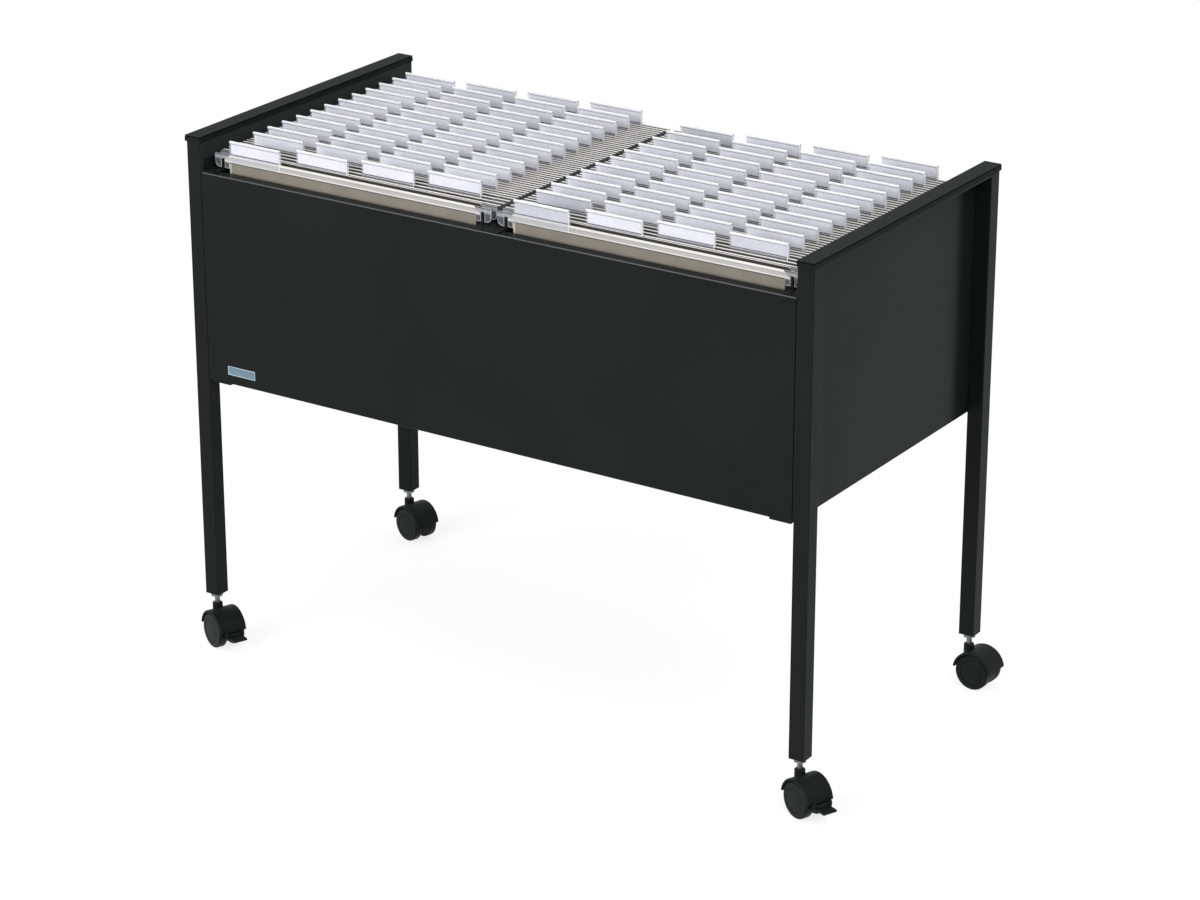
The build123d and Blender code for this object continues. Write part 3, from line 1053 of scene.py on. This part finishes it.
@dataclass
class TrolleyFrame:
    """The steel frame: its finishes, and the plate on its front panel."""

    palette: Palette
    plate_bevel: float = 0.25 * MM
    plate_bevel_steps: int = 3
    plate_rim: float = 0.9 * MM
    plate_sink: float = 0.2 * MM

    def dress(self) -> None:
        """Give every node of the frame its finish."""
        coat = self.palette.dress
        for corner in Corner:
            coat("black_powder_coat", f"leg_{corner.label}")
        for side in Side:
            coat("black_powder_coat", f"top_rail_{side.label}", f"side_rail_{side.label}")
            coat("side_powder_coat", f"side_panel_{side.label}")
            coat("black_cap_coat", f"cap_strip_{side.label}")
        coat("black_powder_coat", "centre_rail_beam", "corner_brackets")
        coat("panel_powder_coat", "front_panel", "back_panel")
        coat("hood_plastic", "leg_plugs")
        coat("bright_zinc", "caster_stems", "panel_screws")

    def plate(self) -> None:
        """Build the blank plate, a bevelled sheet with a raised rim."""
        shape = Template("plate_shape")
        shape.block(*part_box("name_plate"))
        field = shape.frame_front(self.plate_rim)
        bmesh.ops.translate(shape.shape, verts=field.verts, vec=(0.0, self.plate_sink, 0.0))
        outer = shape.square_edges()
        for face in shape.soften(outer, self.plate_bevel, self.plate_bevel_steps):
            face.material_index = SheetFace.EDGE
        piece = Piece("plate_blank", self.palette.pick("plate_aluminium", "plate_rim"))
        piece.stamp(shape, Matrix.Identity(4))
        piece.finish("frame", "plate_aluminium", ["name_plate"])


# Casters


@dataclass
class Caster:
    """One twin-wheel caster: its finishes, and the pressed-in disc of each wheel.

    The disc's profile is its radius and its height over the floor of the wheel's dish, in
    millimetres, from the middle outwards.
    """

    palette: Palette
    corner: Corner
    trail: float = 12.7 * MM
    wheel_radius: float = 20.0 * MM
    stem_x: float = 377.5 * MM
    stem_y: float = 182.0 * MM
    face_y: float = 15.9 * MM
    dish_depth: float = 0.8 * MM
    disc_profile: tuple[tuple[float, float], ...] = (
        (0.0, 1.1),
        (3.0, 1.08),
        (6.0, 1.02),
        (9.0, 0.92),
        (11.2, 0.82),
        (12.4, 0.74),
        (12.9, 0.66),
        (13.2, 0.5),
        (13.35, 0.0),
    )

    def dress(self) -> None:
        """Give the caster's nodes their finishes."""
        name = self.corner.label
        coat = self.palette.dress
        coat("hood_plastic", f"caster_hood_{name}")
        coat("wheel_plastic", f"wheel_a_{name}", f"wheel_b_{name}")
        coat("bright_zinc", f"caster_axle_{name}")
        if self.corner in (Corner.FRONT_LEFT, Corner.FRONT_RIGHT):
            coat("hood_plastic", f"brake_lever_{name}")

    def discs(self) -> None:
        """Build the disc in the outer face of each wheel."""
        across, along, swivel = self.corner.value
        spot = (across * self.stem_x, along * self.stem_y, self.wheel_radius)
        turn = Matrix.Rotation(math.radians(swivel), 4, "Z")
        place = Matrix.Translation(spot) @ turn @ Matrix.Translation((self.trail, 0.0, 0.0))
        for letter, outward in (("a", -1), ("b", 1)):
            wheel = f"{letter}_{self.corner.label}"
            floor = outward * (self.face_y - self.dish_depth)
            shape = Template("disc_shape")
            shape.spun([(r * MM, floor + outward * y * MM) for r, y in self.disc_profile])
            piece = Piece(f"wheel_disc_{wheel}", self.palette.pick("wheel_disc_plastic"))
            piece.stamp(shape, place)
            piece.finish(f"wheel_{wheel}", "wheel_plastic")


# Hanging files


@dataclass
class FileParts:
    """The small shapes that the hanging files are stamped from."""

    bar_half: float = 1.2 * MM
    bar_height: float = 8.0 * MM
    bead_low: float = 2.0 * MM
    groove_low: float = 2.7 * MM
    rim_high: float = 6.2 * MM
    groove_depth: float = 0.35 * MM
    face_depth: float = 0.15 * MM
    foot_step: float = 0.7 * MM
    slant_length: float = 7.0 * MM
    slant_height: float = 5.5 * MM
    bar_soft: float = 0.3 * MM
    bevel_depth: float = 0.85 * MM
    bevel_drop: float = 0.5 * MM
    hook_half: float = 1.0 * MM
    hook_height: float = 15.0 * MM
    hook_reach: float = 11.0 * MM
    hook_inner: float = 8.75 * MM
    bar_past_rail: float = 3.0 * MM
    notch_half: float = 2.2 * MM
    notch_top: float = 4.4 * MM
    notch_edge: float = 0.5 * MM
    hook_corner: float = 6.0 * MM
    hook_soft: float = 0.35 * MM
    tip_facing: float = 0.8
    sleeve_wall: float = 0.4 * MM
    sleeve_turn: float = 0.5 * MM
    turn_share: float = 0.3
    ridge_height: float = 2.1 * MM
    crease_height: float = 0.6 * MM
    foot_low: float = 1.3 * MM
    foot_high: float = 2.0 * MM
    end_width: float = 0.9 * MM
    label_rim_shade: float = 0.45 * MM

    def open_bar(self, length: float) -> Template:
        """A suspension bar with its bead, groove and lower rim.

        Args:
            length: Its length along X.

        Returns:
            The shape, with the middle of its top face at the origin.
        """
        full, foot = self.bar_half, self.foot_step - self.bar_height
        inner, flat = full - self.groove_depth, full - self.face_depth
        right = [
            (full - self.bar_soft, 0.0),
            (full, -self.bar_soft),
            (full, -self.bead_low),
            (inner, -self.bead_low),
            (inner, -self.groove_low),
            (flat, -self.groove_low),
            (flat, -self.rim_high),
            (full, -self.rim_high),
            (full, foot),
            (inner, foot),
            (inner, -self.bar_height),
        ]
        left = [(-y, z) for y, z in reversed(right)]
        shape = Template("open_bar_shape")
        ends = [Vector((-length / 2, y, z)) for y, z in (*right, *left)]
        shape.pull(ends, Vector((length, 0.0, 0.0)))
        self._slant(shape, length)
        # painted shade: the groove and the faces under the lower rim take the dark hollow slot
        for face in shape.faces:
            height = face.calc_center_median().z
            in_groove = -self.groove_low - HAIR < height < -self.bead_low + HAIR
            if in_groove or height < foot + HAIR:
                face.material_index = BarFace.HOLLOW
            elif -self.rim_high < height < -self.groove_low:
                face.material_index = BarFace.SIDE
        return shape

    def closed_bar(self, length: float) -> Template:
        """A bar of a closed file, whose hollow side faces the gap to the next file.

        Args:
            length: Its length along X.

        Returns:
            The shape, with the middle of its top face at the origin and its hollow side to
            the front.
        """
        full, low = self.bar_half, -self.bar_height
        points = [(full, 0.0), (full, low), (-full, low)]
        points += [(-full, -self.bevel_drop), (self.bevel_depth - full, 0.0)]
        shape = Template("closed_bar_shape")
        ends = [Vector((-length / 2, y, z)) for y, z in points]
        shape.pull(ends, Vector((length, 0.0, 0.0)))
        self._slant(shape, length)
        # painted shade: the bevel that faces the gap to the next file takes a near-black slot
        for face in shape.faces:
            face.material_index = BarFace.SIDE
            if face.normal.z > FACING:
                face.material_index = BarFace.TOP
            elif face.normal.y < -TILTED:
                face.material_index = BarFace.HOLLOW
        return shape

    def _slant(self, shape: Template, length: float) -> None:
        """Cut the two upper corners of a bar away.

        Args:
            shape: The bar.
            length: Its length along X.
        """
        for end in (-1, 1):
            start = Vector((end * length / 2, 0, -self.slant_height))
            normal = Vector((end * self.slant_height, 0, self.slant_length))
            shape.cut(start, normal, away=True)

    def hook(self) -> Template:
        """A hook plate whose tip points to +X and whose side at the gap faces the front.

        Returns:
            The shape, with the bar's top at Z zero and its notch over the origin.
        """
        low, turn = -self.hook_height, self.hook_corner
        corner = [
            (
                self.hook_reach - turn + turn * math.cos(angle),
                low + turn - turn * math.sin(angle),
            )
            for angle in (0.0, math.pi / 6, math.pi / 3, math.pi / 2)
        ]
        points = [
            (-self.bar_past_rail - self.slant_length, 0.0),
            (self.hook_reach, 0.0),
            *corner,
            (self.notch_half, low),
            (self.notch_half, -self.notch_top),
            (-self.notch_half, -self.notch_top),
            (-self.notch_half, low),
            (-self.hook_inner, low),
            (-self.hook_inner, -self.bar_height),
            (-self.bar_past_rail, -self.bar_height),
            (-self.bar_past_rail, -self.slant_height),
        ]
        shape = Template("hook_shape")
        thick = self.hook_half
        shape.pull([Vector((x, -thick, z)) for x, z in points], Vector((0.0, 2 * thick, 0.0)))
        edges = [(e, e.verts[0].co, e.verts[1].co) for e in shape.square_edges()]
        gap = [e for e, a, b in edges if min(a.z, b.z) > -HAIR and max(a.y, b.y) < 0.0]
        shape.soften(gap, self.bevel_depth)
        edges = [(e, e.verts[0].co, e.verts[1].co) for e in shape.square_edges()]
        shape.soften([e for e, a, b in edges if abs(a.y - b.y) < HAIR], self.hook_soft)
        shape.cut((0.0, 0.0, -self.slant_height), (0.0, 0.0, 1.0))
        for face in shape.faces:
            face.material_index = self._hook_face(face.normal, face.calc_center_median())
        return shape

    def _hook_face(self, normal: Vector, centre: Vector) -> HookFace:
        """Which face of a hook one of its polygons belongs to.

        Args:
            normal: The way that it looks.
            centre: Its middle.

        Returns:
            The face.
        """
        at_edge = self.notch_half + self.notch_edge, self.notch_edge - self.notch_top
        if normal.z > FACING and centre.z > -MM:
            return HookFace.TOP
        # painted shade: the bevel at the gap takes the near-black gap slot
        if normal.z > TILTED and centre.z > -2 * self.bevel_depth:
            return HookFace.GAP if normal.y < -TILTED else HookFace.TOP
        if abs(normal.y) > FACING:
            return HookFace.BLOCK if centre.z > -self.slant_height else HookFace.PLATE
        # painted glint: the edges round the notch take the white top slot
        if abs(centre.x) < at_edge[0] and centre.z < at_edge[1]:
            return HookFace.TOP
        if normal.x > self.tip_facing and centre.x > self.notch_half + MM:
            return HookFace.TIP
        return HookFace.RIM

    def sleeve(self, width: float, height: float, lap: float) -> Template:
        """A tab holder, a clear sheet folded over its label and lapped over a bar's front.

        Args:
            width: Its length along X.
            height: How far it stands above the bar.
            lap: How far its front wall reaches down over the bar.

        Returns:
            The shape, with the bar's middle at X and Y zero and its top at Z zero.
        """
        front, back = -self.bar_half - self.sleeve_wall, self.bar_half
        ridge = height - self.ridge_height
        crease = ridge - self.crease_height
        turn, near = self.sleeve_turn, self.sleeve_turn * self.turn_share
        foot = (0.0, self.foot_low, self.foot_high)
        line = [(front, z) for z in (-lap, *foot, crease, ridge, height - turn)]
        line += [(front + near, height - near), (front + turn, height)]
        line += [(back - turn, height), (back - near, height - near)]
        line += [(back, z) for z in (height - turn, ridge, *reversed(foot))]
        shape = Template("sleeve_shape")
        shape.strip(line, -width / 2, width / 2, self.sleeve_wall)
        end = width / 2 - self.end_width
        shape.cut((end, 0.0, 0.0), (1.0, 0.0, 0.0))
        # painted shade: the crease band under the ridge and the foot band under the label are
        # dark
        for face in shape.faces:
            centre = face.calc_center_median()
            if centre.z > ridge:
                face.material_index = SheetFace.RIDGE
            elif centre.x > end or face.normal.z < -FACING:
                face.material_index = SheetFace.EDGE
            elif centre.z > crease or self.foot_low < centre.z < self.foot_high:
                face.material_index = SheetFace.CREASE
        return shape

    def label(self, box: Corners) -> Template:
        """A paper label whose rim is painted darker, as painted shadow.

        Args:
            box: The label's box.

        Returns:
            The shape, round the middle of the box.
        """
        shape = Template("label_shape")
        half = (box[1] - box[0]) / 2
        shape.block(-half, half)
        shape.frame_front(self.label_rim_shade)
        return shape


@dataclass
class FileGroup:
    """The files of one bay that lift together: the open one in front, or the closed ones."""

    palette: Palette
    side: Side
    opened: bool
    parts: FileParts
    sheet: float = 0.6 * MM
    open_fold: float = 1.2 * MM
    fold_steps: int = 6
    shadow_band_height: float = 0.8 * MM
    end_strip: float = 2.5 * MM
    stack_inset: float = 9.0 * MM
    stack_drop: float = 22.0 * MM
    stack_share: float = 0.62
    stack_soft: float = 0.2 * MM

    def build(self) -> None:
        """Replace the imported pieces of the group."""
        self._bars()
        self._hooks()
        if self.opened:
            self._open_card()
        else:
            self._closed_cards()
        self._sleeves()
        self._labels()

    def _node(self, word: str) -> str:
        """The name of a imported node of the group.

        Args:
            word: Its word in the names of the open file's nodes.

        Returns:
            The name.
        """
        if self.opened:
            return f"front_file_{word}_{self.side.label}"
        return f"file_{word.rstrip('s')}s_{self.side.label}"

    @property
    def body(self) -> str:
        """The body that the group moves with."""
        return f"front_file_{self.side.label}" if self.opened else f"files_{self.side.label}"

    def _bars(self) -> None:
        """Replace the bars."""
        node = self._node("bars")
        boxes = islands(node)
        length = boxes[0][1].x - boxes[0][0].x
        if self.opened:
            looks = self.palette.pick("bar_bead", "bar_face", "bar_groove_shade")
            piece = Piece(f"{node}_facing", looks)
            piece.stamp(self.parts.open_bar(length), on_top(boxes.pop(0)))
            piece.finish(self.body, "bar_white")
        piece = Piece(f"{node}_profile", self.palette.pick("bar_top", "bar_bead", "bar_gap_shade"))
        shape = self.parts.closed_bar(length)
        for index, box in enumerate(boxes):
            rear = index % 2 and not self.opened
            turn = Matrix.Diagonal((1.0, -1.0 if rear else 1.0, 1.0, 1.0))
            piece.stamp(shape, on_top(box) @ turn)
        piece.finish(self.body, "bar_white", [node])

    def _hooks(self) -> None:
        """Replace the hooks.

        The boxes come in fours: left and right on a file's front bar, then on its rear one.
        """
        node = self._node("hooks")
        boxes = islands(node)
        bay = middle((boxes[0][0], boxes[-1][1])).x
        shape = self.parts.hook()
        # painted highlight: the open hooks' rims take a bright clear plastic
        names = ("hook_edge_highlight", "hook_block", "hook_tip_shade")
        # painted shade: the closed hooks' rims take the near-black clear plastic
        rim, block, tip = names if self.opened else ("hook_tip_shade", "hook_end", "hook_end")
        looks = self.palette.pick("hook_clear", rim, "bar_bead", "hook_tip_shade", block, tip)
        piece = Piece(f"{node}_plate", looks)
        for index, (low, high) in enumerate(boxes):
            spot = middle((low, high))
            outward = 1 if spot.x > bay else -1
            turn = -1.0 if index % 4 > 1 and not self.opened else 1.0
            end = high.x if outward > 0 else low.x
            place = Matrix.Translation((end - outward * self.parts.hook_reach, spot.y, high.z))
            piece.stamp(shape, place @ Matrix.Diagonal((outward, turn, 1.0, 1.0)))
        piece.finish(self.body, "hook_clear", [node])

    def _fold(self, name: str, size: Vector, fold: float) -> Template:
        """A folder, two walls of card and the rounded fold that joins them.

        Args:
            name: The shape's name.
            size: Its width, the distance between its outer faces at the top, and its height.
            fold: The outer radius of the fold.

        Returns:
            The shape, with its top at Z zero and its middle at X and Y zero.
        """
        turns = [math.pi * step / self.fold_steps for step in range(self.fold_steps + 1)]
        arc = [(-fold * math.cos(a), fold - size.z - fold * math.sin(a)) for a in turns]
        shape = Template(name)
        half = size.y / 2
        shape.strip([(-half, 0.0), *arc, (half, 0.0)], -size.x / 2, size.x / 2, self.sheet)
        for face in shape.faces:
            if abs(face.normal.x) > FACING or face.calc_center_median().z > -HAIR:
                face.material_index = SheetFace.EDGE
        return shape

    def _open_card(self) -> None:
        """Replace the folder of the open file."""
        node = self._node("card")
        low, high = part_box(node)
        size = high - low
        shape = self._fold("open_card", size, self.open_fold)
        # painted shadow: the card's top band under the bar takes a near-black card
        shadow_top = -self.shadow_band_height
        strip = self.end_strip - size.x / 2
        shape.cut((0.0, 0.0, shadow_top), (0.0, 0.0, 1.0))
        shape.cut((strip, 0.0, 0.0), (1.0, 0.0, 0.0))
        for face in shape.faces:
            centre = face.calc_center_median()
            if centre.z > shadow_top and abs(face.normal.y) > FACING:
                face.material_index = SheetFace.CREASE
            elif centre.x < strip and face.normal.y < -FACING:
                face.material_index = SheetFace.EDGE
        looks = self.palette.pick("folder_card", "card_edge", "card_shadow_band")
        piece = Piece(f"{node}_sheet", looks)
        piece.stamp(shape, on_top((low, high)))
        piece.finish(self.body, "card_stock", [node])

    def _closed_cards(self) -> None:
        """Replace the folders of the closed files, and lay papers in them."""
        node = self._node("card")
        boxes = islands(node)
        size = boxes[0][1] - boxes[0][0]
        folder = self._fold("closed_card", size, size.y / 2)
        papers = Template("paper_shape")
        across = size.x / 2 - self.stack_inset
        thick = (size.y / 2 - self.sheet) * self.stack_share
        papers.block((-across, -thick, size.y - size.z), (across, thick, -self.stack_drop))
        papers.soften(papers.square_edges(), self.stack_soft)
        sheets = Piece(f"{node}_folders", self.palette.pick("folder_card", "card_edge"))
        stacks = Piece(f"{node}_papers", self.palette.pick("paper_stack"))
        for box in boxes:
            sheets.stamp(folder, on_top(box))
            stacks.stamp(papers, on_top(box))
        sheets.finish(self.body, "card_stock", [node])
        stacks.finish(self.body, "label_paper")

    def _sleeves(self) -> None:
        """Replace the tab holders, which stand on the bars."""
        node = self._node("tab")
        boxes = islands(node)
        bar_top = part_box(self._node("bars"))[1].z
        low, high = boxes[0]
        shape = self.parts.sleeve(high.x - low.x, high.z - bar_top, bar_top - low.z)
        names = ("sleeve_clear", "sleeve_edge", "sleeve_crease", "sleeve_ridge")
        piece = Piece(f"{node}_sleeve", self.palette.pick(*names))
        for box in boxes:
            spot = Vector((middle(box).x, box[1].y - self.parts.bar_half, bar_top))
            piece.stamp(shape, Matrix.Translation(spot))
        piece.finish(self.body, "tab_clear", [node])

    def _labels(self) -> None:
        """Replace the labels."""
        node = self._node("label")
        boxes = islands(node)
        shape = self.parts.label(boxes[0])
        piece = Piece(f"{node}_paper", self.palette.pick("label_paper", "label_rim_shade"))
        for box in boxes:
            piece.stamp(shape, Matrix.Translation(middle(box)))
        piece.finish(self.body, "label_paper", [node])


# Studio


def link(name: str, content: bpy.types.ID) -> bpy.types.Object:
    """Make an object and link it to the scene.

    Args:
        name: Its name.
        content: Its mesh, lamp or camera.

    Returns:
        The object.
    """
    made = bpy.data.objects.new(name, content)
    bpy.context.scene.collection.objects.link(made)
    return made


@dataclass(frozen=True)
class Lamp:
    """A square soft light that faces the trolley."""

    name: str
    place: tuple[float, float, float]
    size: float
    watts: float

    def build(self, target: Vector) -> None:
        """Hang the lamp.

        Args:
            target: The point that it faces.
        """
        light = bpy.data.lights.new(self.name, "AREA")
        light.shape = "SQUARE"
        light.size = self.size
        light.energy = self.watts
        made = link(self.name, light)
        made.location = self.place
        made.rotation_euler = (target - Vector(self.place)).to_track_quat("-Z", "Y").to_euler()


@dataclass
class Studio:
    """Pale floor, soft light and the camera."""

    camera_place: tuple[float, float, float] = (2.0590, -3.1093, 1.7370)
    camera_yaw: float = 33.32
    camera_pitch: float = 21.72
    camera_lens: float = 111.0
    camera_sensor: float = 36.0
    camera_clip: tuple[float, float] = (0.05, 60.0)
    floor_half: float = 14.0
    floor_cells: int = 4
    floor_colour: Colour = (0.30, 0.30, 0.303)
    floor_glow: float = 0.78
    ambient: float = 0.62
    white: tuple[float, float, float, float] = (1.0, 1.0, 1.0, 1.0)
    target: tuple[float, float, float] = (0.0, 0.0, 0.35)
    lamps: tuple[Lamp, ...] = (
        Lamp("key_light", (2.6, -1.2, 3.0), 2.0, 44.0),
        Lamp("front_light", (-0.9, -3.4, 1.5), 2.2, 98.0),
        Lamp("top_light", (-0.4, 0.6, 3.4), 2.4, 10.0),
    )

    def build(self) -> None:
        """Set up the whole studio."""
        bpy.context.scene.view_settings.view_transform = "Standard"
        self._world()
        self._floor()
        for lamp in self.lamps:
            lamp.build(Vector(self.target))
        self._camera()
        LOG.info("studio: %d lamps", len(self.lamps))

    def _world(self) -> None:
        """White for the camera and for reflections, softer as a light."""
        world = bpy.data.worlds.new("studio_world")
        bpy.context.scene.world = world
        tree = ShaderTree(world)
        level = self.ambient + tree.seen() * (1.0 - self.ambient)
        inputs = {"Color": self.white, "Strength": level}
        background = tree.node("ShaderNodeBackground", None, inputs)
        tree.node("ShaderNodeOutputWorld", None, {"Surface": background.outputs[0]})

    def _floor(self) -> None:
        """A plain white floor, which keeps the trolley's shadow."""
        shape = bmesh.new()
        cells = self.floor_cells
        bmesh.ops.create_grid(shape, x_segments=cells, y_segments=cells, size=self.floor_half)
        mesh = bpy.data.meshes.new("studio_floor")
        shape.to_mesh(mesh)
        shape.free()
        material = bpy.data.materials.new("floor_white")
        tree = ShaderTree(material)
        seen = tree.seen()
        diffuse = tree.node("ShaderNodeBsdfDiffuse", None, {"Color": (*self.floor_colour, 1.0)})
        inputs = {"Color": self.white, "Strength": self.floor_glow}
        glow = tree.node("ShaderNodeEmission", None, inputs)
        both = tree.node("ShaderNodeAddShader", None, {0: diffuse.outputs[0], 1: glow.outputs[0]})
        inputs = {0: seen, 1: diffuse.outputs[0], 2: both.outputs[0]}
        mixed = tree.node("ShaderNodeMixShader", None, inputs)
        tree.node("ShaderNodeOutputMaterial", None, {"Surface": mixed.outputs[0]})
        mesh.materials.append(material)
        link("studio_floor", mesh)

    def _camera(self) -> None:
        """The camera at the photograph's viewing angle."""
        lens = bpy.data.cameras.new("photo_camera")
        lens.sensor_fit = "HORIZONTAL"
        lens.sensor_width = self.camera_sensor
        lens.lens = self.camera_lens
        lens.clip_start, lens.clip_end = self.camera_clip
        camera = link("photo_camera", lens)
        camera.location = self.camera_place
        angles = (90.0 - self.camera_pitch, 0.0, self.camera_yaw)
        camera.rotation_euler = tuple(math.radians(angle) for angle in angles)
        bpy.context.scene.camera = camera


def main() -> None:
    """Build the trolley's looks, piece by piece."""
    logging.basicConfig(level=logging.INFO, format="%(message)s")
    palette = Palette()
    trolley = TrolleyFrame(palette)
    trolley.dress()
    trolley.plate()
    for corner in Corner:
        caster = Caster(palette, corner)
        caster.dress()
        caster.discs()
    for side in Side:
        for opened in (True, False):
            FileGroup(palette, side, opened, FileParts()).build()
    Studio().build()


if __name__ == "__main__":
    main()
